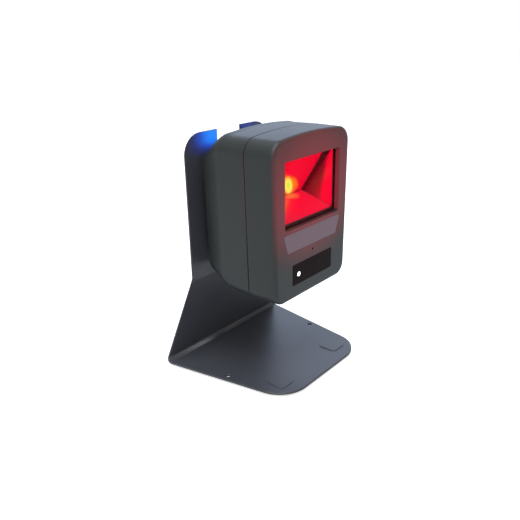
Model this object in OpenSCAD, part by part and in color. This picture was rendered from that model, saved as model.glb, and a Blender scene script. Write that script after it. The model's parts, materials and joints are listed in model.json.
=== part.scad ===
// Hands-free omnidirectional barcode scanner: a scan head hinged on a bent steel stand.
// X runs to the viewer's right, -Y is the side the window faces, +Z is up.
// The origin is under the middle of the stand, on the surface that the feet rest on.

/* [Stand] */
// Width of the base at the crease
base_rear_w = 149; // [140:1:160]
// Width of the base at its front edge
base_front_w = 108; // [100:1:120]
// Overall depth of the stand
stand_depth = 119; // [116:0.5:124]
// Radius of the base's front corners
base_corner_r = 27; // [10:1:30]
// Thickness of the sheet steel
sheet_t = 2; // [1.5:0.1:2.5]
// Forward lean of the lower panel, in degrees
lean = 11.2; // [10.5:0.1:11.8]
// How far the upright stands ahead of the crease
setback = 14.5; // [14:0.5:15]
// Width of the upright
upright_w = 103; // [98:1:106]
// Height of the upright's top above the base sheet
upright_h = 196; // [192:1:200]
// Radius of the ears' outer corners
ear_r = 18; // [10:1:24]
// Width of the cable notch between the ears
notch_w = 29.4; // [26:0.2:32]
// Depth of the cable notch
notch_h = 42; // [38:1:44]
// Height of the rubber feet below the sheet
foot_h = 2; // [1.5:0.5:3]

/* [Base screw holes] */
// Distance between the two screw holes in the base
screw_pitch = 118; // [116:1:120]
// Radius of each screw hole
screw_hole_r = 2.1; // [1.7:0.1:2.3]

/* [Head] */
// Width of the head at the top of its face
head_top_w = 102; // [100:0.5:103]
// Width of the head at the bottom of its face
head_bottom_w = 97; // [95:0.5:98]
// Distance from the face to the back of the head
head_depth = 80.6; // [80:0.2:81]
// Rise of the crowned top above its corners
crown = 5; // [3:0.5:6]
// Wall thickness of the two shells
wall = 2.4; // [2:0.1:2.6]
// Gap that shows as a groove between the shells
seam_gap = 0.6; // [0.3:0.1:0.8]
// Distance from the face to the groove
seam_w = 27; // [26.6:0.1:27.4]

/* [Window] */
// Width of the window opening
window_w = 71.4; // [68:0.2:72]
// Lower edge of the opening above the head's datum
window_low = 54; // [53.5:0.1:55]
// Upper edge of the opening above the head's datum
window_high = 106.3; // [105:0.1:106.8]

/* [Tilt hinge] */
// Radius of the hinge pin
pin_r = 2.5; // [2.2:0.1:2.6]
// Radial running clearance of the pin in the bracket
pin_gap = 0.05; // [0.02:0.01:0.08]
// Depth of the pin behind the face
pivot_w = 72; // [71.5:0.1:72.5]
// Height of the pin above the head's datum
pivot_v = 26; // [25:0.5:27]

/* [Scan motor] */
// Corner radius of the polygon mirror
polygon_r = 7; // [6:0.5:7]
// Facets on the polygon mirror
facets = 6; // [5:1:8]
// Radius of the motor shaft
shaft_r = 1.5; // [1.2:0.1:1.6]
// Sideways place of the motor's axis
motor_x = -24; // [-24:0.5:-23]

/* [Hidden] */
$fn = 64;
eps = 0.01;
far = 300;

// Stand, derived
base_top = foot_h + sheet_t;
rear_y = stand_depth / 2;
bend_in = 3;
bend_out = bend_in + sheet_t;
bend1 = [rear_y - bend_out, base_top + bend_in];
crease_y = bend1[0] + bend_in * (1 + sin(lean)) / cos(lean);
upright_y = crease_y - setback;
top_z = base_top + upright_h;
bend2_in = 14;
bend2_out = bend2_in + sheet_t;
bend2_y = upright_y + bend2_out;
panel_len = (bend1[0] + bend_in * cos(lean) - bend2_y + bend2_out * cos(lean)) / sin(lean);
bend2_z = bend1[1] + bend_in * sin(lean) + panel_len * cos(lean) + bend2_out * sin(lean);
emboss_w = 18;
emboss_h = 0.6;
emboss_xy = [38, crease_y - 97];
rear_foot_xy = [54, crease_y - 20];
foot_inset = 1.5;
hole_y = crease_y - 57.5;

// Head, derived: the head's datum is near its lower front edge
head_z = 80;
face_y = crease_y - 101.2;
low_v = -5.4;
top_v = 121.6;
seam_top_v = top_v + crown + 0.2;
front_top_v = seam_top_v - 1.6;
corner_low_r = 11;
corner_top_r = 13;
crown_r = 360;
edge_r = 3.2;
arc_steps = 8;
slope_start = [55, front_top_v];
slope_end = [head_depth, 104];
under_w = 52;
under_v = 6;
slope_angle = atan2(slope_start[1] - slope_end[1], slope_end[0] - slope_start[0]);
slope_mid = (slope_start + slope_end) / 2;
side_edge_w = 56.5;
taper = 8;

// Hinge, derived
pivot_y = face_y + pivot_w;
pivot_z = head_z + pivot_v;
ear_x = 14.4;
ear_t = 1.6;
ear_end_r = 6;
washer_t = 1;
boss_x = ear_x + ear_t + washer_t;
pocket_x = 20;
pocket_wall = 2;
pocket_w = 62;
pocket_top = 36;
bracket_half_w = 18;
bracket_half_h = 16;
bracket_hole = [10, 11];
m3_r = 1.5;
m3_clear = 1.7;
clip_t = 0.8;

// Shell fastening, derived
screw_low = [31, 18];
screw_high = [26, 118.4];
boss_r = 4;
pilot_r = 1.5;
shank_r = 1.45;
screw_seat_w = 46;

// Window and mirror chamber, derived
rim_w = 3.6;
gasket_t = 0.6;
pane_t = 2;
pane_w = rim_w + gasket_t;
chamber_w = pane_w + pane_t;
chamber_x = 34.6;
mirror_t = 1.2;
fold_t = 1.5;
chassis_t = 2;
fold_low = [36.5, 66];
fold_high = [14, 101];
floor_front = [chamber_w, 57];
fold_dir = (fold_high - fold_low) / norm(fold_high - fold_low);
floor_dir = (fold_low - floor_front) / norm(fold_low - floor_front);
fold_back = [fold_dir[1], -fold_dir[0]];
floor_down = [floor_dir[1], -floor_dir[0]];
fold_angle = atan2(fold_dir[1], fold_dir[0]);
floor_angle = atan2(floor_dir[1], floor_dir[0]);
chamber_top = 106.9;
fold_top_half = 31;
fold_len = 46;
wedge_top = [10, 102.5];
laser_v = 72.5;
laser_r = 5.5;
collector_w = 38.5;
barrel_w = [44, 62];
tab_v = [62, 94];
tab_x = 41;
tab_w = 12;

// Scan motor, derived
motor_w = 23.5;
motor_board_v = 44;
board_t = 1.6;
thin_board_t = 1.2;
stator_v = motor_board_v + board_t;
polygon_v = 66.5;
polygon_h = 7.5;
shaft_low = stator_v + 0.3;
shaft_high = 75.5;
cup_r = 10.5;
magnet_r = 9.9;
bearing_r = 4.2;

// Electronics, derived
main_w = 64;
main_v = [42, 98];
main_half = 34;
main_screw = [30, 46, 94];
jack_v = 90;
jack_half = [7.5, 6.5];
plate_t = 0.6;
name_low = [32.6, 35];
name_high = [38, 50.4];
data_low = [-27, 6.4];
data_high = [27, 24];
lens_xv = [-18.5, 14.5];
lens_r = 1.8;
sound_v = 30.4;
indicator_w = 10;
light_half = 16;
light_len = 7;
button_xw = [24, 42];
button_r = 3.5;
button_travel = 0.8;
button_top = 3;
button_board_v = 8.5;
m2_r = 0.95;

// ---------- helpers ----------
function toward(p, q, d) = p + d * (q - p) / norm(q - p);
function half_angle(a, p, b) = acos(((a - p) * (b - p)) / (norm(a - p) * norm(b - p))) / 2;
function corner_centre(a, p, b, r) =
    let (u = (a - p) / norm(a - p) + (b - p) / norm(b - p))
    p + u / norm(u) * r / sin(half_angle(a, p, b));
function cut(a, p, b, r) = r / tan(half_angle(a, p, b));
function polar(r, a) = [r * cos(a), r * sin(a)];
// Where the line through p along u crosses the line through q along v
function meet(p, u, q, v) =
    p + u * ((q[0] - p[0]) * v[1] - (q[1] - p[1]) * v[0]) / (u[0] * v[1] - u[1] * v[0]);

// The outline of a convex polygon with an arc of short chords at each corner
function arc_outline(pts, radii, steps) =
    let (n = len(pts))
    [for (k = [0:n - 1])
        let (a = pts[(k + n - 1) % n], p = pts[k], b = pts[(k + 1) % n], r = radii[k])
        each r > 0 ? arc_points(a, p, b, r, steps) : [p]];
function arc_points(a, p, b, r, steps) =
    let (c = corner_centre(a, p, b, r), from = toward(p, a, cut(a, p, b, r)) - c,
        to = toward(p, b, cut(a, p, b, r)) - c)
    [for (j = [0:steps])
        let (turn = angle_between(from, to), part = j / steps,
            blend = from * sin(turn * (1 - part)) + to * sin(turn * part))
        c + blend * r / norm(blend)];
function angle_between(u, v) = acos(u * v / (norm(u) * norm(v)));

// A convex polygon with a true arc of the given radius at each corner
module rounded(pts, radii) {
    n = len(pts);
    polygon([for (k = [0:n - 1])
        let (a = pts[(k + n - 1) % n], p = pts[k], b = pts[(k + 1) % n], r = radii[k])
        each r > 0 ? [toward(p, a, cut(a, p, b, r)), toward(p, b, cut(a, p, b, r))] : [p]]);
    for (k = [0:n - 1])
        if (radii[k] > 0)
            translate(corner_centre(pts[(k + n - 1) % n], pts[k], pts[(k + 1) % n], radii[k]))
                circle(r = radii[k]);
}

// A rectangle from low to high with equal round corners
module panel(low, high, r) {
    rounded([low, [high[0], low[1]], high, [low[0], high[1]]], [r, r, r, r]);
}

// A 2D shape in X and Z, extruded along Y
module along_y(from, to) {
    translate([0, to, 0])
        rotate([90, 0, 0])
            linear_extrude(to - from)
                children();
}

// A 2D shape in Y and Z, extruded along X
module along_x(from, to) {
    translate([from, 0, 0])
        rotate([90, 0, 90])
            linear_extrude(to - from)
                children();
}

module mirrored() {
    children();
    mirror([1, 0, 0])
        children();
}

// A round rod along Y, on the point x, z
module rod_y(x, z, r, from, to) {
    along_y(from, to)
        translate([x, z])
            circle(r = r);
}

// Puts head coordinates (x, depth behind the face, height above the datum) in the model's frame
module in_head() {
    translate([0, face_y, head_z])
        children();
}

// A pan-head screw pointing along +Y, with its head ending at y = 0
module pan_screw(head_r, head_h, shank, length) {
    rod_y(0, 0, head_r, -head_h, 0);
    rod_y(0, 0, shank, -eps, length);
}

// ---------- stand ----------
module bend_ring(centre, inner, outer, a0, a1) {
    reach = outer * 2;
    lap = 0.3;
    intersection() {
        translate(centre)
            difference() {
                circle(r = outer);
                circle(r = inner);
            }
        polygon([centre, centre + polar(reach, a0 - lap), centre + polar(reach, (a0 + a1) / 2),
            centre + polar(reach, a1 + lap)]);
    }
}

module sheet_profile() {
    panel_front = bend1 + polar(bend_in, lean);
    panel_back = bend1 + polar(bend_out, lean);
    rise = polar(panel_len, lean + 90);
    polygon([[-rear_y, foot_h], [bend1[0], foot_h], [bend1[0], base_top], [-rear_y, base_top]]);
    bend_ring(bend1, bend_in, bend_out, -90, lean);
    polygon([panel_front, panel_back, panel_back + rise, panel_front + rise]);
    bend_ring([bend2_y, bend2_z], bend2_in, bend2_out, 180, 180 + lean);
    translate([upright_y, bend2_z])
        square([sheet_t, top_z - bend2_z]);
}

module base_outline() {
    side = (base_rear_w - base_front_w) / 2 / (crease_y + rear_y);
    back_half = base_rear_w / 2 + side * (rear_y + sheet_t - crease_y);
    rounded([[-base_front_w / 2, -rear_y], [base_front_w / 2, -rear_y],
        [back_half, rear_y + sheet_t], [-back_half, rear_y + sheet_t]],
        [base_corner_r, base_corner_r, 0, 0]);
}

module back_outline() {
    slope = (base_rear_w - upright_w) / 2 / (bend2_z - base_top);
    low_half = base_rear_w / 2 + slope * base_top;
    difference() {
        union() {
            polygon([[-low_half, 0], [low_half, 0], [upright_w / 2, bend2_z], [-upright_w / 2, bend2_z]]);
            rounded([[-upright_w / 2, bend2_z - eps], [upright_w / 2, bend2_z - eps],
                [upright_w / 2, top_z], [-upright_w / 2, top_z]], [0, 0, ear_r, ear_r]);
        }
        panel([-notch_w / 2, top_z - notch_h], [notch_w / 2, top_z + notch_w], notch_w / 4);
    }
}

module emboss(grow, low, height) {
    mirrored()
        translate([emboss_xy[0], emboss_xy[1], low])
            linear_extrude(height)
                panel([-emboss_w / 2 - grow, -emboss_w / 2 - grow],
                    [emboss_w / 2 + grow, emboss_w / 2 + grow], 4 + grow);
}

module stand_plate() {
    color("#26272b")
        difference() {
            union() {
                intersection() {
                    along_x(-far / 2, far / 2)
                        sheet_profile();
                    linear_extrude(far)
                        base_outline();
                    along_y(-far / 2, far / 2)
                        back_outline();
                }
                emboss(0, base_top - eps, emboss_h);
            }
            emboss(-foot_inset + 0.1, foot_h - eps, emboss_h);
            mirrored()
                translate([screw_pitch / 2, hole_y, 0])
                    cylinder(r = screw_hole_r, h = far / 10);
            mirrored()
                for (side = [-1, 1])
                    rod_y(bracket_hole[0], pivot_z + side * bracket_hole[1], m3_clear, upright_y - 1,
                        upright_y + sheet_t + 1);
        }
}

module front_feet() {
    color("#17181a")
        emboss(-foot_inset, 0, foot_h + emboss_h - eps * 2);
}

module rear_feet() {
    color("#17181a")
        mirrored()
            translate([rear_foot_xy[0], rear_foot_xy[1], 0])
                cylinder(r = 7, h = foot_h);
}

// ---------- tilt hinge ----------
module tilt_bracket() {
    color("#8b8f94")
        difference() {
            union() {
                translate([-bracket_half_w, upright_y - ear_t, pivot_z - bracket_half_h])
                    cube([2 * bracket_half_w, ear_t, 2 * bracket_half_h]);
                mirrored()
                    along_x(ear_x, ear_x + ear_t) {
                        translate([pivot_y, pivot_z])
                            circle(r = ear_end_r);
                        translate([pivot_y, pivot_z - ear_end_r])
                            square([upright_y - ear_t / 2 - pivot_y, 2 * ear_end_r]);
                    }
            }
            along_x(-far / 2, far / 2)
                translate([pivot_y, pivot_z])
                    circle(r = pin_r + pin_gap);
            mirrored()
                for (side = [-1, 1])
                    rod_y(bracket_hole[0], pivot_z + side * bracket_hole[1], m3_clear, upright_y - 5,
                        upright_y + 1);
        }
}

module at_bracket_holes() {
    mirrored()
        for (side = [-1, 1])
            translate([bracket_hole[0], 0, pivot_z + side * bracket_hole[1]])
                children();
}

module bracket_screws() {
    color("#3a3c40")
        at_bracket_holes()
            translate([0, upright_y + sheet_t, 0])
                mirror([0, 1, 0])
                    difference() {
                        pan_screw(2.8, 1.6, m3_r, 6.2);
                        along_y(-1.7, -0.8)
                            for (turn = [0, 90])
                                rotate(turn)
                                    square([3, 0.7], center = true);
                    }
}

module bracket_nuts() {
    color("#a9adb2")
        at_bracket_holes()
            along_y(upright_y - ear_t - 2.2, upright_y - ear_t)
                difference() {
                    circle(r = 3, $fn = 6);
                    circle(r = m3_r);
                }
}

module hinge_pin() {
    color("#b8bcc0")
        along_x(-24, 24)
            translate([pivot_y, pivot_z])
                circle(r = pin_r);
}

module pin_ring(from, thick, outer) {
    mirrored()
        along_x(from, from + thick)
            translate([pivot_y, pivot_z])
                difference() {
                    circle(r = outer);
                    circle(r = pin_r + pin_gap);
                }
}

module friction_washers() {
    color("#c9b26a")
        pin_ring(ear_x + ear_t, washer_t, 5);
}

module pin_clips() {
    color("#2e3033")
        pin_ring(pocket_x + pocket_wall, clip_t, 4);
}

// ---------- head shells ----------
module face_outline(i) {
    wide = head_top_w / 2 - i;
    narrow = head_bottom_w / 2 - i;
    polygon(arc_outline([[-narrow, low_v + i], [narrow, low_v + i], [wide, top_v - i],
        [0, top_v + crown - i], [-wide, top_v - i]],
        [corner_low_r - i, corner_low_r - i, corner_top_r - i, crown_r, corner_top_r - i], arc_steps));
}

module side_outline(i) {
    polygon(arc_outline([[i, low_v + i], [under_w, low_v + i], [head_depth - i, under_v + i],
        [head_depth - i, slope_end[1] - i / 2], [slope_start[0] - i / 2, slope_start[1] - i],
        [seam_w, seam_top_v - i], [i, front_top_v - i]],
        [edge_r - i / 2, 16, 5, 5, 8, 0, edge_r - i / 2], arc_steps));
}

module plan_outline(i) {
    front = head_top_w / 2 - 0.8 - i;
    middle = head_top_w / 2 - i;
    side = head_top_w / 2 - 2.2 - i;
    polygon(arc_outline([[-front, i], [front, i], [middle, seam_w], [side, side_edge_w],
        [side - taper, head_depth - i], [-side + taper, head_depth - i], [-side, side_edge_w],
        [-middle, seam_w]],
        [edge_r - i / 2, edge_r - i / 2, 0, 8, 4, 4, 8, 0], arc_steps));
}

// The head's outer form, shrunk inward by i on every side
module head_form(i) {
    intersection() {
        along_y(-1, head_depth + 1)
            face_outline(i);
        along_x(-far / 2, far / 2)
            side_outline(i);
        translate([0, 0, -far / 2])
            linear_extrude(far)
                plan_outline(i);
    }
}

module slab(from, to) {
    translate([-far / 2, from, -far / 2])
        cube([far, to - from, far]);
}

module window_opening(grow, from, to) {
    along_y(from, to)
        panel([-window_w / 2 - grow, window_low - grow], [window_w / 2 + grow, window_high + grow],
            2 + grow);
}

module at_shell_screws() {
    for (p = [screw_low, screw_high])
        for (side = [-1, 1])
            translate([side * p[0], 0, p[1]])
                children();
}

module at_chassis_tabs() {
    for (v = tab_v)
        for (side = [-1, 1])
            translate([side * tab_x, 0, v])
                children();
}

module name_outline(i) {
    low = [name_low[0] - i, name_low[1] + i];
    high = [name_high[0] - i * 1.2, name_high[1] - i];
    rounded([[-low[0], low[1]], low, high, [-high[0], high[1]]], [1.5, 1.5, 1.5, 1.5]);
}

module data_outline(i) {
    panel(data_low + [i, i], data_high - [i, i], 1);
}

indicator_posts = [[8, 11], [-9, 17]];

module front_housing() {
    color("#3c413f")
        in_head()
            difference() {
                union() {
                    difference() {
                        intersection() {
                            head_form(0);
                            slab(-1, seam_w - seam_gap / 2);
                        }
                        head_form(wall);
                    }
                    window_opening(3, wall - 0.4, rim_w);
                    at_shell_screws()
                        rod_y(0, 0, boss_r, wall - 0.4, seam_w - 2);
                    at_chassis_tabs()
                        rod_y(0, 0, 2.6, wall - 0.4, tab_w);
                    for (p = indicator_posts)
                        rod_y(p[0], p[1], 2.4, wall - 0.4, indicator_w);
                    rod_y(0, sound_v, 9.4, wall - 0.4, 6);
                }
                window_opening(0, -1, rim_w + 1);
                at_shell_screws()
                    rod_y(0, 0, pilot_r, 6, seam_w);
                at_chassis_tabs()
                    rod_y(0, 0, m2_r + 0.05, 5, tab_w + 1);
                for (p = indicator_posts)
                    rod_y(p[0], p[1], m2_r + 0.05, 5, indicator_w + 1);
                rod_y(0, sound_v, 8.1, wall, 7);
                rod_y(0, sound_v, 0.9, -1, wall + 1);
                along_y(-1, plate_t)
                    name_outline(0);
                along_y(-1, plate_t)
                    data_outline(0);
                rod_y(lens_xv[0], lens_xv[1], lens_r + 0.1, -1, wall + 1);
            }
}

module pocket_space(grow, depth_grow) {
    translate([-pocket_x - grow, pocket_w - depth_grow, low_v - 5])
        cube([2 * (pocket_x + grow), head_depth, pocket_top + grow - low_v + 5]);
}

module rear_posts() {
    for (side = [-1, 1])
        for (v = [main_screw[1], main_screw[2]])
            rod_y(side * main_screw[0], v, 2.6, main_w + board_t, head_depth);
    for (side = [-1, 1])
        translate([button_xw[0] + side * 8, button_xw[1], low_v + 1])
            cylinder(r = 2.2, h = button_board_v - low_v - 1);
}

module on_slope() {
    translate([0, slope_mid[0], slope_mid[1]])
        rotate([-slope_angle, 0, 0])
            children();
}

// The hollow inside the rear shell, less the pocket walls, screw bosses and board posts
module rear_hollow() {
    difference() {
        head_form(wall);
        pocket_space(pocket_wall, pocket_wall);
        at_shell_screws()
            rod_y(0, 0, boss_r, seam_w, head_depth);
        rear_posts();
    }
}

module rear_cover() {
    color("#383d3b")
        in_head()
            difference() {
                union() {
                    difference() {
                        intersection() {
                            head_form(0);
                            slab(seam_w + seam_gap / 2, far / 2);
                        }
                        rear_hollow();
                    }
                    at_shell_screws()
                        rod_y(0, 0, boss_r - 1, seam_w - 2, seam_w + 6);
                }
                difference() {
                    pocket_space(0, 0);
                    mirrored()
                        along_x(boss_x, pocket_x + eps)
                            translate([pivot_w, pivot_v])
                                circle(r = ear_end_r);
                }
                along_x(-pocket_x - pocket_wall - 1, pocket_x + pocket_wall + 1)
                    translate([pivot_w, pivot_v])
                        circle(r = pin_r);
                at_shell_screws()
                    rod_y(0, 0, pilot_r + 0.1, 0, far / 2);
                at_shell_screws()
                    rod_y(0, 0, 3.1, screw_seat_w, far / 2);
                for (side = [-1, 1])
                    for (v = [main_screw[1], main_screw[2]])
                        rod_y(side * main_screw[0], v, m2_r + 0.05, main_w, head_depth - 5);
                along_y(main_w + 6, far / 2)
                    panel([-jack_half[0] - 0.2, jack_v - jack_half[1] - 0.2],
                        [jack_half[0] + 0.2, jack_v + jack_half[1] + 0.2], 0.6);
                on_slope()
                    translate([-light_half - 0.1, -light_len / 2 - 0.1, -8])
                        cube([2 * light_half + 0.2, light_len + 0.2, 16]);
                translate([button_xw[0], button_xw[1], low_v - 1])
                    cylinder(r = button_r + 0.3, h = 6);
            }
}

module housing_screws() {
    color("#4a4d50")
        in_head()
            at_shell_screws()
                translate([0, screw_seat_w, 0])
                    mirror([0, 1, 0])
                        difference() {
                            pan_screw(2.8, 2, shank_r, 26);
                            along_y(-2.1, -1)
                                for (turn = [0, 90])
                                    rotate(turn)
                                        square([3, 0.7], center = true);
                        }
}

// ---------- window and face ----------
module scan_window() {
    color("#c8002a", 0.5)
        in_head()
            window_opening(1.8, pane_w, pane_w + pane_t);
}

module window_gasket() {
    color("#101113")
        in_head()
            difference() {
                window_opening(1.8, rim_w, pane_w);
                window_opening(0.3, rim_w - 1, pane_w + 1);
            }
}

module name_plate() {
    color("#7a6870")
        in_head()
            along_y(0, plate_t)
                name_outline(0.1);
}

module data_plate() {
    color("#141213")
        in_head()
            difference() {
                along_y(0.1, plate_t)
                    data_outline(0.1);
                rod_y(lens_xv[0], lens_xv[1], lens_r + 0.1, -1, 1);
            }
}

module status_lens() {
    color("white")
        in_head() {
            rod_y(lens_xv[0], lens_xv[1], lens_r, 0.2, 6.2);
            rod_y(lens_xv[0], lens_xv[1], lens_r + 0.9, wall + 0.1, wall + 1.4);
        }
}

module status_led() {
    color("#e8f0ff")
        in_head() {
            rod_y(lens_xv[0], lens_xv[1], 1.5, 6.5, indicator_w - 1);
            rod_y(lens_xv[0], lens_xv[1], 1.8, indicator_w - 1, indicator_w);
        }
}

module indicator_board() {
    color("#1f6b3f")
        in_head()
            along_y(indicator_w, indicator_w + thin_board_t)
                difference() {
                    panel([-24, 7], [14, 20.5], 1);
                    for (p = indicator_posts)
                        translate(p)
                            circle(r = m2_r + 0.15);
                }
}

module sounder() {
    color("#202124")
        in_head()
            difference() {
                rod_y(0, sound_v, 8, wall + 0.1, 7);
                rod_y(0, sound_v, 1.5, wall, 5);
            }
}

module read_light() {
    color("#0a5cff")
        in_head()
            on_slope() {
                translate([-light_half, -light_len / 2, -4])
                    cube([2 * light_half, light_len, 4.2]);
                translate([-light_half - 1, -light_len / 2 - 0.8, -4.4])
                    cube([2 * light_half + 2, light_len + 1.6, 1]);
            }
}

led_x = [-10, 0, 10];

module read_leds() {
    color("#dfe8ff")
        in_head()
            on_slope()
                for (x = led_x)
                    translate([x - 1.75, -1.4, -6.5])
                        cube([3.5, 2.8, 1.9]);
}

module read_led_board() {
    color("#1f6b3f")
        in_head()
            on_slope()
                translate([-light_half - 1, -4.5, -7.7])
                    cube([2 * light_half + 2, 9, thin_board_t]);
}

// ---------- optics ----------
// The chamber's side profile, moved outward by back behind the fold mirror and by low under the floor
function chamber_profile(back, low, front, top) =
    let (b = fold_low + fold_back * back, f = fold_low + floor_down * low)
    [meet(f, floor_dir, [front, 0], [0, 1]), meet(f, floor_dir, b, fold_dir),
        meet(b, fold_dir, [0, top], [1, 0]), [front, top]];

module chamber(half, back, low, front, top) {
    along_x(-half, half)
        polygon(chamber_profile(back, low, front, top));
}

motor_posts = [[-9, 12], [-9, 30], [-34, 35]];

module optics_chassis() {
    color("#2b2d30")
        in_head()
            difference() {
                union() {
                    chamber(chamber_x + mirror_t + chassis_t, fold_t + chassis_t, mirror_t + chassis_t,
                        chamber_w, chamber_top + chassis_t);
                    rod_y(motor_x, laser_v, laser_r + 2, fold_low[0] - 2, barrel_w[1] - 6);
                    for (v = tab_v)
                        mirrored()
                            translate([chamber_x, tab_w, v - 3])
                                cube([tab_x + 3 - chamber_x, 2, 6]);
                    for (p = motor_posts)
                        translate([p[0], p[1], stator_v])
                            cylinder(r = 2.4, h = 13.5 + (p[1] - 9) * 0.29);
                }
                chamber(chamber_x + mirror_t, fold_t, mirror_t, chamber_w - 1, chamber_top);
                rod_y(motor_x, laser_v, laser_r + 0.1, 10, far / 2);
                translate([motor_x, motor_w, stator_v - 5])
                    cylinder(r = 6, h = 30);
                at_chassis_tabs()
                    rod_y(0, 0, m2_r + 0.15, 5, tab_w + 5);
                for (p = motor_posts)
                    translate([p[0], p[1], stator_v - 1])
                        cylinder(r = m2_r + 0.05, h = 8);
            }
}

module chassis_screws() {
    color("#4a4d50")
        in_head()
            at_chassis_tabs()
                translate([0, tab_w + 2, 0])
                    mirror([0, 1, 0])
                        pan_screw(2, 1.3, m2_r, 7);
}

module fold_mirror() {
    color("#d7263d")
        in_head()
            difference() {
                translate([0, fold_low[0], fold_low[1]])
                    rotate([fold_angle, 0, 0])
                        mirror([0, 0, 1])
                            linear_extrude(fold_t)
                                polygon([[-chamber_x + 0.2, 0.2], [chamber_x - 0.2, 0.2],
                                    [fold_top_half, fold_len], [-fold_top_half, fold_len]]);
                rod_y(motor_x, laser_v, laser_r + 0.1, 10, far / 2);
            }
}

module on_floor() {
    translate([0, floor_front[0], floor_front[1]])
        rotate([floor_angle, 0, 0])
            children();
}

module floor_mirror() {
    color("#e0405a")
        in_head()
            difference() {
                on_floor()
                    translate([-chamber_x + 0.2, 0.6, -mirror_t])
                        cube([2 * chamber_x - 0.4, norm(fold_low - floor_front) - 0.8, mirror_t]);
                translate([motor_x, motor_w, stator_v])
                    cylinder(r = 6, h = 30);
            }
}

// One side mirror: the chamber's profile less the dark wedge beside the fold mirror
module side_mirror() {
    along_x(chamber_x, chamber_x + mirror_t)
        polygon([[chamber_w + 0.4, 57.4], fold_low - [0.3, 0.1], wedge_top, [chamber_w + 0.4, 105]]);
}

module left_mirror() {
    color("#c21f36")
        in_head()
            mirror([1, 0, 0])
                side_mirror();
}

module right_mirror() {
    color("#ff1a3c")
        in_head()
            side_mirror();
}

module collector_mirror() {
    dish_r = 20;
    color("#c9ccd1")
        in_head()
            difference() {
                rod_y(motor_x, laser_v, laser_r, collector_w, collector_w + 3);
                translate([motor_x, collector_w + 1.2 - dish_r, laser_v])
                    sphere(r = dish_r, $fn = 128);
                rod_y(motor_x, laser_v, 2, collector_w - 1, collector_w + 5);
            }
}

module laser_module() {
    color("#b08d3c")
        in_head()
            difference() {
                union() {
                    rod_y(motor_x, laser_v, laser_r, barrel_w[0], barrel_w[1]);
                    rod_y(motor_x, laser_v, 3.2, collector_w + 3, barrel_w[0]);
                }
                rod_y(motor_x, laser_v, 1.6, 0, barrel_w[0] + 2);
            }
}

module laser_board() {
    color("#1f6b3f")
        in_head()
            along_y(barrel_w[1], barrel_w[1] + thin_board_t)
                panel([motor_x - 6.5, laser_v - 6.5], [motor_x + 6.5, laser_v + 6.5], 0.8);
}

module photodiode() {
    color("#1b1c20")
        in_head()
            on_floor()
                translate([-31, 5.5, 0]) {
                    translate([-3, -3, 0])
                        cube([6, 6, 2.4]);
                    translate([0, 0, 2.4])
                        cylinder(r = 2, h = 0.8);
                }
}

// ---------- scan motor ----------
module at_motor(v) {
    in_head()
        translate([motor_x, motor_w, v])
            children();
}

module tube(outer, inner, h) {
    difference() {
        cylinder(r = outer, h = h);
        translate([0, 0, -1])
            cylinder(r = inner, h = h + 2);
    }
}

module polygon_mirror() {
    color("#dfe3e8")
        at_motor(polygon_v)
            difference() {
                union() {
                    cylinder(r = polygon_r, h = polygon_h, $fn = facets);
                    translate([0, 0, -2.6])
                        cylinder(r = 4, h = 2.7);
                }
                translate([0, 0, -5])
                    cylinder(r = shaft_r, h = far / 10);
            }
}

module rotor_cup() {
    color("#9aa0a6")
        at_motor(stator_v + 1.4) {
            tube(cup_r, magnet_r, 7);
            translate([0, 0, 5.6])
                tube(cup_r, shaft_r, 1.4);
        }
}

module rotor_magnet() {
    color("#3a3230")
        at_motor(stator_v + 1.6)
            tube(magnet_r, magnet_r - 0.8, 5.2);
}

module motor_shaft() {
    color("#c8ccd0")
        at_motor(shaft_low)
            cylinder(r = shaft_r, h = shaft_high - shaft_low);
}

module shaft_clip() {
    color("#2e3033")
        at_motor(polygon_v + polygon_h)
            tube(3, shaft_r, 1);
}

module motor_stator() {
    poles = 6;
    color("#a55b2a")
        at_motor(stator_v) {
            difference() {
                translate([0, 0, 1.2])
                    tube(magnet_r - 1.3, bearing_r, 4.6);
                for (k = [0:poles - 1])
                    rotate(k * 360 / poles)
                        translate([6, -0.7, 0])
                            cube([6, 1.4, 8]);
            }
            tube(6, bearing_r, 1.3);
        }
}

module motor_bearing() {
    color("#b98a4a")
        at_motor(stator_v)
            tube(bearing_r, shaft_r + 0.05, 6.6);
}

module motor_board() {
    color("#1f6b3f")
        in_head()
            translate([0, 0, motor_board_v])
                linear_extrude(board_t)
                    difference() {
                        panel([-37, 8], [-6, 38], 1.5);
                        for (p = motor_posts)
                            translate(p)
                                circle(r = m2_r + 0.15);
                    }
}

// ---------- electronics ----------
module main_board() {
    color("#1f6b3f")
        in_head()
            along_y(main_w, main_w + board_t)
                difference() {
                    panel([-main_half, main_v[0]], [main_half, main_v[1]], 1.5);
                    for (side = [-1, 1])
                        for (v = [main_screw[1], main_screw[2]])
                            translate([side * main_screw[0], v])
                                circle(r = m2_r + 0.15);
                }
}

module chip(x, v, w, h, t) {
    translate([x - w / 2, main_w - t, v - h / 2])
        cube([w, t, h]);
}

module board_parts() {
    color("#1a1b1d")
        in_head() {
            chip(18, 78, 14, 14, 1.5);
            chip(18, 60, 10, 8, 1.2);
            chip(4, 52, 6, 5, 1.2);
            chip(-26, 57, 6, 12, 4);
            rod_y(-8, 80, 3.5, main_w - 8, main_w);
            rod_y(4, 88, 2.5, main_w - 6, main_w);
        }
}

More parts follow.
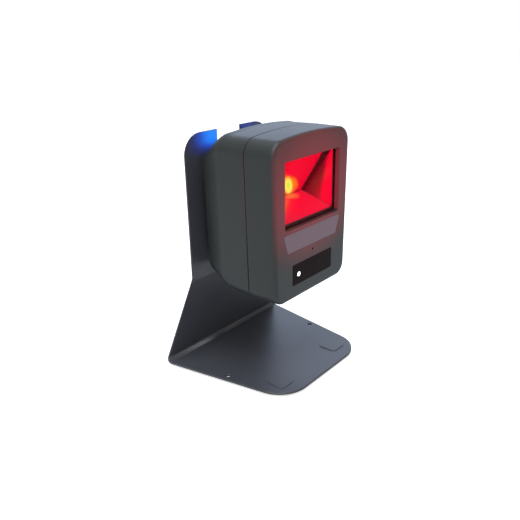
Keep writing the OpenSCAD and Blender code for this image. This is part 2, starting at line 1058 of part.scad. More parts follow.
module board_screws() {
    color("#4a4d50")
        in_head() {
            for (side = [-1, 1])
                for (v = [main_screw[1], main_screw[2]])
                    translate([side * main_screw[0], main_w, v])
                        pan_screw(1.9, 1.3, m2_r, 6);
            for (p = indicator_posts)
                translate([p[0], indicator_w + thin_board_t, p[1]])
                    mirror([0, 1, 0])
                        pan_screw(1.9, 1.3, m2_r, 5);
            for (p = motor_posts)
                translate([p[0], p[1], motor_board_v])
                    rotate([90, 0, 0])
                        pan_screw(1.9, 1.3, m2_r, 6);
        }
}

module interface_jack() {
    depth = [main_w + board_t, head_depth - 0.2];
    color("#0f1011")
        in_head()
            difference() {
                along_y(depth[0], depth[1])
                    panel([-jack_half[0], jack_v - jack_half[1]], [jack_half[0], jack_v + jack_half[1]], 0.5);
                translate([-6, depth[0] + 2, jack_v - 4])
                    cube([12, far, 7]);
                translate([-3, depth[0] + 2, jack_v - 5.6])
                    cube([6, far, 3]);
            }
}

module ribbon_cable() {
    color("#d8d3c4")
        in_head()
            along_x(-16, -4)
                polygon([[34, stator_v], [main_w, stator_v], [main_w, 56], [main_w - 0.4, 56],
                    [main_w - 0.4, stator_v + 0.4], [34, stator_v + 0.4]]);
}

module tone_button() {
    color("#54585a")
        in_head()
            translate([button_xw[0], button_xw[1], 0]) {
                translate([0, 0, low_v - 0.4])
                    cylinder(r = button_r, h = button_top - low_v + 0.4);
                translate([0, 0, low_v + wall + 0.1])
                    cylinder(r = button_r + 1.3, h = 1);
            }
}

module button_switch() {
    color("#1a1b1d")
        in_head()
            translate([button_xw[0], button_xw[1], 0]) {
                translate([0, 0, button_top + button_travel + 0.1])
                    cylinder(r = 1.7, h = 2);
                translate([-3, -3, button_top + button_travel + 1])
                    cube([6, 6, button_board_v - button_top - button_travel - 1]);
            }
}

module button_board() {
    color("#1f6b3f")
        in_head()
            translate([button_xw[0] - 11, button_xw[1] - 6, button_board_v])
                cube([22, 12, thin_board_t]);
}

stand_plate();
front_feet();
rear_feet();
tilt_bracket();
bracket_screws();
bracket_nuts();
hinge_pin();
friction_washers();
pin_clips();
front_housing();
rear_cover();
housing_screws();
scan_window();
window_gasket();
name_plate();
data_plate();
status_lens();
status_led();
indicator_board();
sounder();
read_light();
read_leds();
read_led_board();
optics_chassis();
chassis_screws();
fold_mirror();
floor_mirror();
left_mirror();
right_mirror();
collector_mirror();
laser_module();
laser_board();
photodiode();
polygon_mirror();
rotor_cup();
rotor_magnet();
motor_shaft();
shaft_clip();
motor_stator();
motor_bearing();
motor_board();
main_board();
board_parts();
board_screws();
interface_jack();
ribbon_cable();
tone_button();
button_switch();
button_board();
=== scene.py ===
"""A hands-free barcode scanner: a scan head with a red window, hinged on a bent steel stand."""
import json
import math

import bmesh
import bpy
from mathutils import Matrix, Vector


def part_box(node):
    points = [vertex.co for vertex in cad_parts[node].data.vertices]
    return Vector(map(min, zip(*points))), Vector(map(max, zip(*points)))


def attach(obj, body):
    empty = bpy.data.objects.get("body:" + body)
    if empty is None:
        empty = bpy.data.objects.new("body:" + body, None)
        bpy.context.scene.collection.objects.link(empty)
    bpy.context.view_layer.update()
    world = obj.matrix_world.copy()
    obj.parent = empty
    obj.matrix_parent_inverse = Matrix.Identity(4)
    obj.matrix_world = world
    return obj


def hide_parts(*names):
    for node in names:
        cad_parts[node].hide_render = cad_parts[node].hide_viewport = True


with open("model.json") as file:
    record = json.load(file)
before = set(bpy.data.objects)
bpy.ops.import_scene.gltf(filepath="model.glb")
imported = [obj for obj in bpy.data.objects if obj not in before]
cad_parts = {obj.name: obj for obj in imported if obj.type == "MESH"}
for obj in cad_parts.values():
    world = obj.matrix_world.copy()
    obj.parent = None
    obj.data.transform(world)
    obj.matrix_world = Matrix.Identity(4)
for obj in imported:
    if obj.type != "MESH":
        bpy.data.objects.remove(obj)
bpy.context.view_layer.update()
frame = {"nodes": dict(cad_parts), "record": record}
NODES = frame["nodes"]
MM = 0.001

# The head's own frame: x sideways, w behind the face, v up from the datum, all in millimetres.
# The datum is a little above the head's lower front edge.
LOW_V = -5.4
WINDOW_LOW, WINDOW_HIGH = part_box("scan_window")
FACE_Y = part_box("front_housing")[0].y
DATUM_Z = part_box("front_housing")[0].z - LOW_V * MM
RIM_W = (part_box("window_gasket")[0].y - FACE_Y) / MM
HEAD_DEPTH = (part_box("rear_cover")[1].y - FACE_Y) / MM
WALL = 2.4

# Where the front and rear shells end, either side of the groove between them
SEAM_W = 27.0
SEAM_GAP = 0.6
FRONT_END = SEAM_W - SEAM_GAP / 2
BACK_START = SEAM_W + SEAM_GAP / 2


def head_point(x, w, v):
    """A point of the head in the shared frame, in metres."""
    return Vector((x * MM, FACE_Y + w * MM, DATUM_Z + v * MM))


# ---------- camera ----------
CAMERA_PLACE = (-0.3729, -0.3025, 0.2787)
CAMERA_TURN, CAMERA_DOWN, CAMERA_ROLL = (math.radians(a) for a in (-49.78, 21.4, -1.2))


def add_camera():
    """The camera at the photograph's viewing angle."""
    data = bpy.data.cameras.new("camera")
    data.lens = 41.5
    data.sensor_width = 36
    data.clip_start = 0.01
    camera = bpy.data.objects.new("camera", data)
    bpy.context.scene.collection.objects.link(camera)
    aim = Matrix.Rotation(CAMERA_TURN, 4, "Z") @ Matrix.Rotation(math.pi / 2 - CAMERA_DOWN, 4, "X")
    camera.matrix_world = Matrix.Translation(CAMERA_PLACE) @ aim @ Matrix.Rotation(CAMERA_ROLL, 4, "Z")
    bpy.context.scene.camera = camera


# ---------- materials ----------
GRAIN_DEPTH = 0.0002
X, Y, Z = 0, 1, 2


class Nodes:
    """A short way to build one node material."""

    def __init__(self, name):
        self.material = bpy.data.materials.new(name)
        self.material.use_nodes = True
        self.tree = self.material.node_tree
        self.shader = self.tree.nodes["Principled BSDF"]
        self.position = None

    def add(self, kind, **values):
        node = self.tree.nodes.new(kind)
        for key, value in values.items():
            setattr(node, key, value)
        return node

    def link(self, source, target):
        self.tree.links.new(source, target)

    def put(self, socket, value):
        if isinstance(value, bpy.types.NodeSocket):
            self.link(value, socket)
        else:
            socket.default_value = value

    def place(self):
        """Object coordinates, which are the shared frame's, in metres."""
        if self.position is None:
            self.position = self.add("ShaderNodeTexCoord").outputs["Object"]
        return self.position

    def math(self, operation, a, b=0.0, clamp=False):
        node = self.add("ShaderNodeMath", operation=operation, use_clamp=clamp)
        self.put(node.inputs[0], a)
        self.put(node.inputs[1], b)
        return node.outputs[0]

    def noise(self, scale, detail=4.0, rough=0.5, stretch=(1, 1, 1)):
        mapping = self.add("ShaderNodeMapping")
        mapping.inputs["Scale"].default_value = stretch
        self.link(self.place(), mapping.inputs["Vector"])
        node = self.add("ShaderNodeTexNoise")
        node.inputs["Scale"].default_value = scale
        node.inputs["Detail"].default_value = detail
        node.inputs["Roughness"].default_value = rough
        self.link(mapping.outputs[0], node.inputs["Vector"])
        return node.outputs["Fac"]

    def ramp(self, factor, stops):
        node = self.add("ShaderNodeValToRGB")
        elements = node.color_ramp.elements
        while len(elements) < len(stops):
            elements.new(0.5)
        for element, (place, colour) in zip(elements, stops):
            element.position = place
            element.color = (*colour, 1)
        self.link(factor, node.inputs[0])
        return node.outputs[0]

    def mix(self, factor, a, b):
        node = self.add("ShaderNodeMix", data_type="RGBA")
        self.put(node.inputs[0], factor)
        for socket, value in ((node.inputs[6], a), (node.inputs[7], b)):
            self.put(socket, value if isinstance(value, bpy.types.NodeSocket) else (*value, 1))
        return node.outputs[2]

    def offset(self, point):
        """The vector from a point to the surface."""
        node = self.add("ShaderNodeVectorMath", operation="SUBTRACT")
        self.link(self.place(), node.inputs[0])
        node.inputs[1].default_value = point
        return node.outputs[0]

    def distance(self, point, stretch=(1, 1, 1)):
        """How far a surface point is from this one, with each axis stretched."""
        scaled = self.add("ShaderNodeVectorMath", operation="MULTIPLY")
        self.link(self.offset(point), scaled.inputs[0])
        scaled.inputs[1].default_value = stretch
        length = self.add("ShaderNodeVectorMath", operation="LENGTH")
        self.link(scaled.outputs[0], length.inputs[0])
        return length.outputs["Value"]

    def along(self, point, direction):
        """How far a surface point lies from this one along a direction."""
        dot = self.add("ShaderNodeVectorMath", operation="DOT_PRODUCT")
        self.link(self.offset(point), dot.inputs[0])
        dot.inputs[1].default_value = direction
        return dot.outputs["Value"]

    def oval(self, point, across, rise, half_width, half_height):
        """0 at the middle of an oval in the plane of two directions, 1 on its edge, more outside it."""
        a = self.math("DIVIDE", self.along(point, across), half_width)
        b = self.math("DIVIDE", self.along(point, rise), half_height)
        total = self.math("ADD", self.math("POWER", self.math("ABSOLUTE", a), 2.0),
                          self.math("POWER", self.math("ABSOLUTE", b), 2.0))
        return self.math("SQRT", total)

    def fall(self, value, near, far):
        """1 at near and on its side, 0 at far and past it, smooth between."""
        node = self.add("ShaderNodeMapRange", interpolation_type="SMOOTHSTEP")
        self.put(node.inputs["Value"], value)
        node.inputs["From Min"].default_value = min(near, far)
        node.inputs["From Max"].default_value = max(near, far)
        node.inputs["To Min"].default_value = 1 if near < far else 0
        node.inputs["To Max"].default_value = 0 if near < far else 1
        return node.outputs[0]

    def axis(self, index):
        split = self.add("ShaderNodeSeparateXYZ")
        self.link(self.place(), split.inputs[0])
        return split.outputs[index]

    def facing(self, index):
        """The true normal's part along one axis."""
        split = self.add("ShaderNodeSeparateXYZ")
        self.link(self.add("ShaderNodeNewGeometry").outputs["True Normal"], split.inputs[0])
        return split.outputs[index]

    def bump(self, height, strength):
        node = self.add("ShaderNodeBump")
        node.inputs["Strength"].default_value = strength
        node.inputs["Distance"].default_value = GRAIN_DEPTH
        self.link(height, node.inputs["Height"])
        self.link(node.outputs[0], self.shader.inputs["Normal"])

    def set(self, **values):
        names = {"colour": "Base Color", "roughness": "Roughness", "metallic": "Metallic",
                 "specular": "Specular IOR Level", "coat": "Coat Weight",
                 "coat_roughness": "Coat Roughness", "emission": "Emission Color",
                 "strength": "Emission Strength", "transmission": "Transmission Weight",
                 "ior": "IOR", "alpha": "Alpha"}
        for key, value in values.items():
            if key in ("colour", "emission") and not isinstance(value, bpy.types.NodeSocket):
                value = (*value, 1)
            self.put(self.shader.inputs[names[key]], value)
        return self


def grained(name, low, high, roughness, bump, scale=900.0, metallic=0.0, specular=0.5):
    """A moulded or painted surface: a fine grain, a slow change of shade and uneven gloss."""
    m = Nodes(name)
    slow = m.noise(14, 3)
    fine = m.noise(scale, 2)
    m.set(colour=m.ramp(slow, [(0.3, low), (0.7, high)]), metallic=metallic, specular=specular,
          roughness=m.math("ADD", m.math("MULTIPLY", slow, 0.14), roughness - 0.07))
    m.bump(fine, bump)
    return m.material


def jamb_glow_mask(m, window):
    """1 on the window's side jambs, where the lit chamber's red glow is painted, and 0 elsewhere."""
    half = (WINDOW_HIGH - WINDOW_LOW) / 2
    beside = m.math("LESS_THAN", m.math("ABSOLUTE", m.axis(X)), half.x)
    level = m.math("LESS_THAN", m.math("ABSOLUTE", m.math("SUBTRACT", m.axis(Z), window.z)), half.z)
    shallow = m.math("LESS_THAN", m.axis(Y), FACE_Y + (RIM_W + 0.1) * MM)
    within = m.math("MULTIPLY", m.math("MULTIPLY", beside, level), shallow)
    return m.math("MULTIPLY", within, m.math("GREATER_THAN", m.math("ABSOLUTE", m.facing(X)), 0.9))


def shell_material():
    """Charcoal housing plastic with a spark-eroded grain, and the window's red glow painted on the face and
    its side jambs.
    """
    m = Nodes("shell_plastic")
    slow = m.noise(11, 3)
    fine = m.noise(1500, 2)
    grey = m.ramp(slow, [(0.3, (0.014, 0.017, 0.016)), (0.7, (0.020, 0.024, 0.023))])
    window = (WINDOW_LOW + WINDOW_HIGH) / 2
    # Painted light: the window's red glow, mixed into the face's colour near the window
    near = m.fall(m.distance((0, FACE_Y, window.z), (1.0, 1.0, 1.2)), 0.030, 0.085)
    front = m.math("MULTIPLY", m.facing(Y), -1, True)
    painted_face_glow = m.math("MULTIPLY", near, m.math("POWER", front, 2))
    m.set(colour=m.mix(m.math("MULTIPLY", painted_face_glow, 0.95), grey, (0.19, 0.020, 0.024)),
          roughness=m.math("ADD", m.math("MULTIPLY", slow, 0.12), 0.40), specular=0.34)
    # Painted light: a red glow on the window's side jambs
    m.set(emission=(0.19, 0.006, 0.018), strength=jamb_glow_mask(m, window))
    m.bump(fine, 0.25)
    return m.material


def stand_material():
    """Black powder coat, with the blue light from behind the head painted on the ears as a glow."""
    m = Nodes("stand_paint")
    slow = m.noise(9, 4)
    fine = m.noise(700, 3)
    m.set(colour=m.ramp(slow, [(0.3, (0.034, 0.035, 0.042)), (0.7, (0.046, 0.047, 0.056))]),
          roughness=m.math("ADD", m.math("MULTIPLY", slow, 0.16), 0.32), specular=0.5)
    m.bump(fine, 0.12)
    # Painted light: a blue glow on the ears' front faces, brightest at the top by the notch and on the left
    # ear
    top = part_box("stand_plate")[1].z
    aside = m.math("ABSOLUTE", m.axis(X))
    near_top = m.fall(m.axis(Z), top - 0.006, top - 0.021)
    near_notch = m.fall(aside, 0.020, 0.054)
    right_ear = 0.38
    on_left = m.math("LESS_THAN", m.axis(X), 0.0)
    left_brighter = m.math("ADD", m.math("MULTIPLY", on_left, 1 - right_ear), right_ear)
    front = m.math("GREATER_THAN", m.math("MULTIPLY", m.facing(Y), -1), 0.5)
    blue_glow_amount = m.math("MULTIPLY", m.math("MULTIPLY", near_top, near_notch),
                    m.math("MULTIPLY", left_brighter, front))
    m.set(emission=m.ramp(blue_glow_amount, [(0.0, (0, 0, 0)), (0.3, (0.0, 0.010, 0.13)), (0.65, (0.0, 0.06, 0.5)),
                                   (1.0, (0.0, 0.22, 1.0))]), strength=1.0)
    return m.material


# name: (low colour, high colour, roughness, bump), then any grain scale, metallic and specular
GRAINED = {
    "rubber_black": ((0.012, 0.012, 0.013), (0.02, 0.02, 0.021), 0.8, 0.4),
    "zinc_steel": ((0.5, 0.51, 0.53), (0.62, 0.63, 0.65), 0.32, 0.08, 500, 1.0),
    "black_steel": ((0.03, 0.03, 0.032), (0.05, 0.05, 0.055), 0.38, 0.1, 500, 0.6),
    "spring_bronze": ((0.5, 0.36, 0.16), (0.62, 0.46, 0.24), 0.3, 0.08, 500, 1.0),
    "plate_mauve": ((0.135, 0.085, 0.105), (0.165, 0.105, 0.13), 0.42, 0.05, 900, 0.0, 0.25),
    "plate_black": ((0.008, 0.004, 0.004), (0.012, 0.007, 0.007), 0.5, 0.04, 900, 0.0, 0.04),
    "board_green": ((0.01, 0.11, 0.04), (0.02, 0.17, 0.07), 0.3, 0.2, 260),
    "black_parts": ((0.012, 0.012, 0.013), (0.022, 0.022, 0.024), 0.45, 0.15),
    "chassis_black": ((0.02, 0.012, 0.013), (0.03, 0.016, 0.018), 0.5, 0.15),
    "brass_barrel": ((0.5, 0.34, 0.12), (0.62, 0.44, 0.18), 0.25, 0.06, 400, 1.0),
    "polished_alloy": ((0.78, 0.79, 0.8), (0.86, 0.87, 0.88), 0.12, 0.02, 400, 1.0),
    "motor_steel": ((0.42, 0.43, 0.45), (0.52, 0.53, 0.55), 0.35, 0.06, 400, 1.0),
    "ferrite": ((0.04, 0.036, 0.034), (0.07, 0.063, 0.06), 0.6, 0.2),
    "copper": ((0.4, 0.13, 0.05), (0.55, 0.2, 0.08), 0.35, 0.3, 300, 0.8),
    "ribbon_white": ((0.62, 0.6, 0.52), (0.72, 0.7, 0.62), 0.5, 0.1),
}


def lit(name, low, high, strength, gloss=0.15):
    """A clear part lit from behind, its glow varying with a fine noise."""
    m = Nodes(name)
    m.set(colour=high, emission=m.ramp(m.noise(220, 2), [(0.35, low), (0.65, high)]), strength=strength,
          roughness=gloss)
    return m.material


# ---------- the mirror chamber, with its light painted on ---
# The laser's light is painted on the fold mirror as an upright oval, with a fainter painted reflection in the
# floor.
# Each patch is an oval in the plane of two directions, with its half sizes in metres.
PAINTED_SPOT = head_point(8.0, 30.8, 75.8)
PAINTED_FLAME = head_point(15.5, 31.5, 76.0)
PAINTED_ECHO = head_point(16.5, 35.0, 65.0)
ACROSS = Vector((0.638, -0.77, 0.0))
RISE = Vector((0.293, 0.219, 0.931))

# The side mirrors' distance from the middle, the fold mirror's foot and its plane's direction, and
# the edge of the right mirror's painted lit half
CHAMBER_X = 34.6
FOLD_W, FOLD_V = 36.5, 66
FOLD_NORMAL = Vector((0, 0.841, 0.541))
SHADE_W = 17.2
SHADE_NORMAL = Vector((0, 0.983, 0.182))
# Painted shade for the fold mirror's edges, then the painted glint's orange, yellow and green
PAINTED_SHADE_RED = (0.07, 0.0, 0.004)
ORANGE = (1.0, 0.2, 0.0)
YELLOW = (1.0, 0.83, 0.12)
GREEN = (0.5, 0.9, 0.04)


def mirror_nodes(name, dim, bright, centre, reach):
    """A mirror with a painted red glow: bright at its centre, dimmer away from it."""
    m = Nodes(name)
    grain = m.noise(60, 2)
    near = m.fall(m.distance(centre), 0.2 * reach, reach)
    shade = m.math("ADD", m.math("MULTIPLY", near, 0.9), m.math("MULTIPLY", grain, 0.1), True)
    return m, m.mix(shade, dim, bright)


def glow(m, colour):
    """Makes a mirror's colour shine as a painted glow, standing in for the chamber's light from inside."""
    m.set(colour=(0.08, 0.0, 0.002), roughness=0.2, specular=0.3, emission=colour, strength=1.0)
    return m.material


def fold_material():
    """The fold mirror, with the laser's yellow spot as a painted glint, and painted shade along its side and
    foot.
    """
    m, red = mirror_nodes("fold_red", (0.62, 0.0, 0.008), (0.82, 0.001, 0.024), head_point(8, 24, 86), 0.05)
    # Painted light: the laser's glint, as an orange flame, a halo, a yellow body and a green core
    flame = m.fall(m.oval(PAINTED_FLAME, ACROSS, RISE, 0.0052, 0.0046), 0.3, 1.1)
    halo = m.fall(m.oval(PAINTED_SPOT, ACROSS, RISE, 0.0078, 0.0078), 0.4, 1.0)
    body = m.fall(m.oval(PAINTED_SPOT, ACROSS, RISE, 0.0048, 0.0064), 0.5, 1.0)
    core = m.fall(m.oval(PAINTED_SPOT, ACROSS, RISE, 0.0020, 0.0038), 0.3, 1.0)
    # Painted shade along the mirror's side edge and foot
    side_shade = m.fall(m.axis(X), 0.0338, 0.0300)
    foot_z = DATUM_Z + FOLD_V * MM
    foot_shade = m.fall(m.axis(Z), foot_z + 0.0005, foot_z + 0.0015)
    edge_shade = m.math("MULTIPLY", m.math("MAXIMUM", side_shade, foot_shade), 0.85)
    colour = m.mix(edge_shade, red, PAINTED_SHADE_RED)
    colour = m.mix(flame, colour, ORANGE)
    colour = m.mix(m.math("MULTIPLY", halo, 0.8), colour, (1.0, 0.22, 0.0))
    colour = m.mix(body, colour, YELLOW)
    return glow(m, m.mix(core, colour, GREEN))


def floor_material():
    """The floor mirror, its painted glow pinker towards its right and front, with the spot's painted
    reflection.
    """
    m, red = mirror_nodes("floor_red", (0.52, 0.02, 0.045), (0.90, 0.002, 0.030),
                          head_point(8, 30, 64), 0.055)
    # Painted reflection of the laser's spot
    spot_reflection = m.fall(m.oval(PAINTED_ECHO, ACROSS, RISE, 0.0085, 0.0036), 0.3, 1.15)
    return glow(m, m.mix(m.math("MULTIPLY", spot_reflection, 0.85), red, (1.0, 0.16, 0.03)))


def right_material():
    """The right mirror: painted shade towards the fold mirror, a vivid painted glow towards the pane."""
    m, red = mirror_nodes("right_red", (0.75, 0.0, 0.018), (0.92, 0.001, 0.026),
                          head_point(CHAMBER_X, 9, 78), 0.05)
    # Painted shade: dim red past the lit half's edge, darker towards the fold
    shaded = m.fall(m.along(head_point(CHAMBER_X, SHADE_W, FOLD_V), SHADE_NORMAL), -0.0026, 0.0022)
    behind = m.along(head_point(CHAMBER_X, FOLD_W, FOLD_V), FOLD_NORMAL)
    painted_dusk = m.mix(m.fall(behind, -0.017, -0.006), (0.12, 0.003, 0.006), (0.36, 0.006, 0.014))
    colour = m.mix(shaded, painted_dusk, red)
    # A dark band of painted shade along the fold line
    line = m.fall(behind, -0.0046, -0.0032)
    return glow(m, m.mix(line, (0.030, 0.0, 0.002), colour))


def left_material():
    """The left mirror, with a painted red glow, which shows only from the right."""
    m, red = mirror_nodes("left_red", (0.35, 0.0, 0.01), (0.9, 0.0, 0.02), head_point(-35, 5, 82), 0.05)
    return glow(m, red)


def window_material():
    """The red filter: clear enough to show the mirrors, with a polished surface."""
    m = Nodes("window_red")
    tint = m.ramp(m.noise(30, 1), [(0.4, (0.9, 0.02, 0.05)), (0.6, (1.0, 0.03, 0.07))])
    m.set(colour=tint, roughness=0.04, alpha=0.03, specular=0.25)
    return m.material


# ---------- mesh helpers ----------
WELD = 0.05 * MM


def put_piece(name, bm, material=None):
    """Makes an object from a bmesh in the shared frame, and frees the bmesh."""
    mesh = bpy.data.meshes.new(name)
    bm.to_mesh(mesh)
    bm.free()
    if material:
        mesh.materials.append(material)
    piece = bpy.data.objects.new(name, mesh)
    bpy.context.scene.collection.objects.link(piece)
    return piece


def sound_piece(name, bm, material):
    """Welds a bmesh, turns its faces outward and makes it an object."""
    bmesh.ops.remove_doubles(bm, verts=bm.verts, dist=1e-5)
    bmesh.ops.recalc_face_normals(bm, faces=bm.faces)
    return put_piece(name, bm, material)


def adopt(piece, node):
    """Puts a piece on the head in place of a CAD node, which it hides."""
    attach(piece, "head")
    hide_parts(node)


def smooth(piece, angle=32):
    """Smooth faces, with sharp edges where they meet at more than this angle, in degrees."""
    mesh = piece.data
    mesh.polygons.foreach_set("use_smooth", [True] * len(mesh.polygons))
    mesh.set_sharp_from_angle(angle=math.radians(angle))


def weigh(piece):
    """Keeps the large flat faces flat in shading."""
    modifier = piece.modifiers.new("flat_faces", "WEIGHTED_NORMAL")
    modifier.keep_sharp = True


def rounded_outline(corners, radii, steps):
    """The points of a convex outline with an arc at each corner."""
    points = []
    count = len(corners)
    for k, (corner, radius) in enumerate(zip(corners, radii)):
        a, p, b = Vector(corners[k - 1]), Vector(corner), Vector(corners[(k + 1) % count])
        to_a, to_b = (a - p).normalized(), (b - p).normalized()
        half = to_a.angle(to_b) / 2
        centre = p + (to_a + to_b).normalized() * radius / math.sin(half)
        cut = radius / math.tan(half)
        start, end = p + to_a * cut - centre, p + to_b * cut - centre
        turn = start.angle(end)
        for t in span(0, 1, steps):
            blend = start * math.sin(turn * (1 - t)) + end * math.sin(turn * t)
            points.append(centre + blend.normalized() * radius)
    return points


def span(a, b, count):
    """Evenly spaced values from a to b, both included."""
    return [a + (b - a) * k / count for k in range(count + 1)]


# The head's corner radii as seen from the front, which shrink behind the side edge's depth
LOW_RADIUS = 11
TOP_RADIUS = 13
CROWN_RADIUS = 360.0
SIDE_EDGE_W = 56.5
BOTTOM_TO_TOP_WIDTH = 48.5 / 51
CORNER_STEPS = 12


def head_ring(w, inset):
    """The head's outline at depth w, shrunk by inset."""
    half, low, high, crown = head_section(w)
    narrow = half * BOTTOM_TO_TOP_WIDTH
    crown *= (half - inset) / half
    back = max(0.0, w - SIDE_EDGE_W)
    low_radius = max(1.5, LOW_RADIUS - inset - back * 0.12)
    top_radius = max(2.0, TOP_RADIUS - inset - back * 0.25)
    corners = [(-narrow + inset, low + inset), (narrow - inset, low + inset),
               (half - inset, high - crown - inset), (0, high - inset), (-half + inset, high - crown - inset)]
    radii = [low_radius, low_radius, top_radius, CROWN_RADIUS, top_radius]
    return [(p.x, p.y) for p in rounded_outline(corners, radii, CORNER_STEPS)]


SOFT_STEPS = 9


def soft_line(x, knots, radius):
    """The height at x of a line through knots, with each inner knot rounded over this radius."""
    reach = range(-SOFT_STEPS, SOFT_STEPS + 1)
    return sum(plain_line(x + radius * k / SOFT_STEPS, knots) for k in reach) / len(reach)


def plain_line(x, knots):
    """The height at x of the straight stretches through knots, carried on past both ends."""
    if x <= knots[0][0]:
        (x0, y0), (x1, y1) = knots[0], knots[1]
    elif x >= knots[-1][0]:
        (x0, y0), (x1, y1) = knots[-2], knots[-1]
    else:
        k = next(i for i in range(len(knots) - 1) if knots[i][0] <= x <= knots[i + 1][0])
        (x0, y0), (x1, y1) = knots[k], knots[k + 1]
    return y0 + (y1 - y0) * (x - x0) / (x1 - x0)


# Depth and height of the head's side edges, underside, top and crown
HALF_KNOTS = [(0, 50.2), (SEAM_W, 50.95), (SIDE_EDGE_W, 48.8), (HEAD_DEPTH, 40.8)]
LOW_KNOTS = [(0, LOW_V), (52, LOW_V), (HEAD_DEPTH, 6.0)]
HIGH_KNOTS = [(0, 126.5), (SEAM_W, 126.6), (54, 126.2), (HEAD_DEPTH, 104.0)]
CROWN_KNOTS = [(0, 5.0), (50, 5.0), (62, 0.8), (HEAD_DEPTH, 0.8)]


def head_section(w):
    """Half width, lowest and highest point of the head at depth w, and the rise of its crown."""
    return (soft_line(w, HALF_KNOTS, 2.5), soft_line(w, LOW_KNOTS, 5), soft_line(w, HIGH_KNOTS, 2.5),
            soft_line(w, CROWN_KNOTS, 3))


def fillet(start, radius, steps, towards):
    """Depth and inset of each ring of a rounded rim: towards -1 is a front edge, +1 a back edge."""
    rings = []
    for angle in span(0, math.pi / 2, steps):
        depth, inset = radius * (1 - math.sin(angle)), radius * (1 - math.cos(angle))
        rings.append((start - towards * depth, inset))
    return rings if towards > 0 else rings[::-1]


def loft_between(bm, a, b):
    """Skins two rings of vertices."""
    for k in range(len(a)):
        j = (k + 1) % len(a)
        bm.faces.new((a[k], a[j], b[j], b[k]))


def loft(bm, rings):
    """Skins a list of rings of points, capping neither end. Returns the rings' vertices."""
    made = [[bm.verts.new(p) for p in ring] for ring in rings]
    for a, b in zip(made, made[1:]):
        loft_between(bm, a, b)
    return made


def closed_loft(bm, rings):
    """Skins a list of rings of points and caps both ends."""
    made = loft(bm, rings)
    bm.faces.new(made[0])
    bm.faces.new(made[-1])


def head_rings(stations, extra=0.0):
    """The head's outline at each station's depth and inset, in the shared frame."""
    return [[head_point(x, w, v) for x, v in head_ring(w, inset + extra)] for w, inset in stations]


FRONT_ROUND = 3.2
BACK_ROUND = 3.5
SEAM_ROUND = 0.45


def front_shell_mesh():
    """The front shell: an outer and an inner skin, joined at the groove."""
    outer = [(0, FRONT_ROUND + 1.5)] + fillet(0, FRONT_ROUND, 10, -1)
    outer += [(w, 0) for w in span(FRONT_ROUND, FRONT_END - SEAM_ROUND, 10)[1:]]
    outer += [(FRONT_END - SEAM_ROUND * 0.3, SEAM_ROUND * 0.3), (FRONT_END, SEAM_ROUND)]
    inner = [(WALL, 2.5), (WALL + 0.7, 0.8)] + [(w, 0) for w in span(WALL + 2.5, FRONT_END, 6)]
    bm = bmesh.new()
    shell = loft(bm, head_rings(outer))
    hollow = loft(bm, head_rings(inner, WALL))
    bm.faces.new(shell[0])
    bm.faces.new(hollow[0])
    loft_between(bm, shell[-1], hollow[-1])
    return bm


def rear_stations():
    """Depth and inset of each ring of the rear shell, closest where its back slopes away."""
    outer = [(BACK_START, SEAM_ROUND), (BACK_START + SEAM_ROUND * 0.3, SEAM_ROUND * 0.3)]
    outer += [(w, 0) for w in span(BACK_START + SEAM_ROUND, 48, 5)]
    outer += [(w, 0) for w in span(48, 62, 12)[1:]]
    outer += [(w, 0) for w in span(62, HEAD_DEPTH - BACK_ROUND, 6)[1:]]
    return outer + fillet(HEAD_DEPTH, BACK_ROUND, 6, 1)[1:] + [(HEAD_DEPTH, BACK_ROUND + 1)]


def head_block(name, stations, extra, material):
    """A solid block with the head's outline at each station."""
    bm = bmesh.new()
    closed_loft(bm, head_rings(stations, extra))
    return sound_piece(name, bm, material)


def prism(name, outline, w_from, w_to, rim=0.0):
    """A cutter or plate: an outline in (x, v) carried from one depth to another. A positive rim
    widens it towards its front end, so that the edge it cuts is broken."""
    middle = Vector((sum(p[0] for p in outline), sum(p[1] for p in outline))) / len(outline)
    stations = [(w_from, rim), (w_to, 0)] if rim == 0 else [(w_from, rim), (0.0, rim), (rim, 0), (w_to, 0)]
    rings = []
    for w, grow in stations:
        ring = []
        for x, v in outline:
            away = Vector((x, v)) - middle
            size = max(abs(away.x), abs(away.y))
            ring.append(head_point(x + grow * away.x / size, w, v + grow * away.y / size))
        rings.append(ring)
    bm = bmesh.new()
    closed_loft(bm, rings)
    bmesh.ops.recalc_face_normals(bm, faces=bm.faces)
    return put_piece(name, bm)


def box_cutter(name, low, high):
    """A cutter from one corner of the head's frame to another, in millimetres."""
    outline = [(low[0], low[2]), (high[0], low[2]), (high[0], high[2]), (low[0], high[2])]
    return prism(name, outline, low[1], high[1])


def disc(x, v, radius, sides=48):
    """The points of a circle in (x, v)."""
    turns = (2 * math.pi * k / sides for k in range(sides))
    return [(x + radius * math.cos(turn), v + radius * math.sin(turn)) for turn in turns]


def clean(piece):
    """Welds slivers shut and splits the large flat faces into sound triangles."""
    bm = bmesh.new()
    bm.from_mesh(piece.data)
    bmesh.ops.remove_doubles(bm, verts=bm.verts, dist=WELD)
    bmesh.ops.dissolve_degenerate(bm, edges=bm.edges, dist=0.01 * MM)
    bmesh.ops.triangulate(bm, faces=[f for f in bm.faces if len(f.verts) > 4])
    bm.to_mesh(piece.data)
    bm.free()


def carve(piece, cutters, operation="DIFFERENCE"):
    """Takes each cutter out of a piece, or joins it on, and deletes the cutters."""
    for cutter in cutters:
        modifier = piece.modifiers.new("carve", "BOOLEAN")
        modifier.operation = operation
        modifier.solver = "EXACT"
        modifier.object = cutter
        apply_modifiers(piece)
        bpy.data.objects.remove(cutter)


def apply_modifiers(piece):
    """Replaces a piece's mesh by the one that its modifiers make."""
    depsgraph = bpy.context.evaluated_depsgraph_get()
    mesh = bpy.data.meshes.new_from_object(piece.evaluated_get(depsgraph))
    piece.modifiers.clear()
    piece.data = mesh


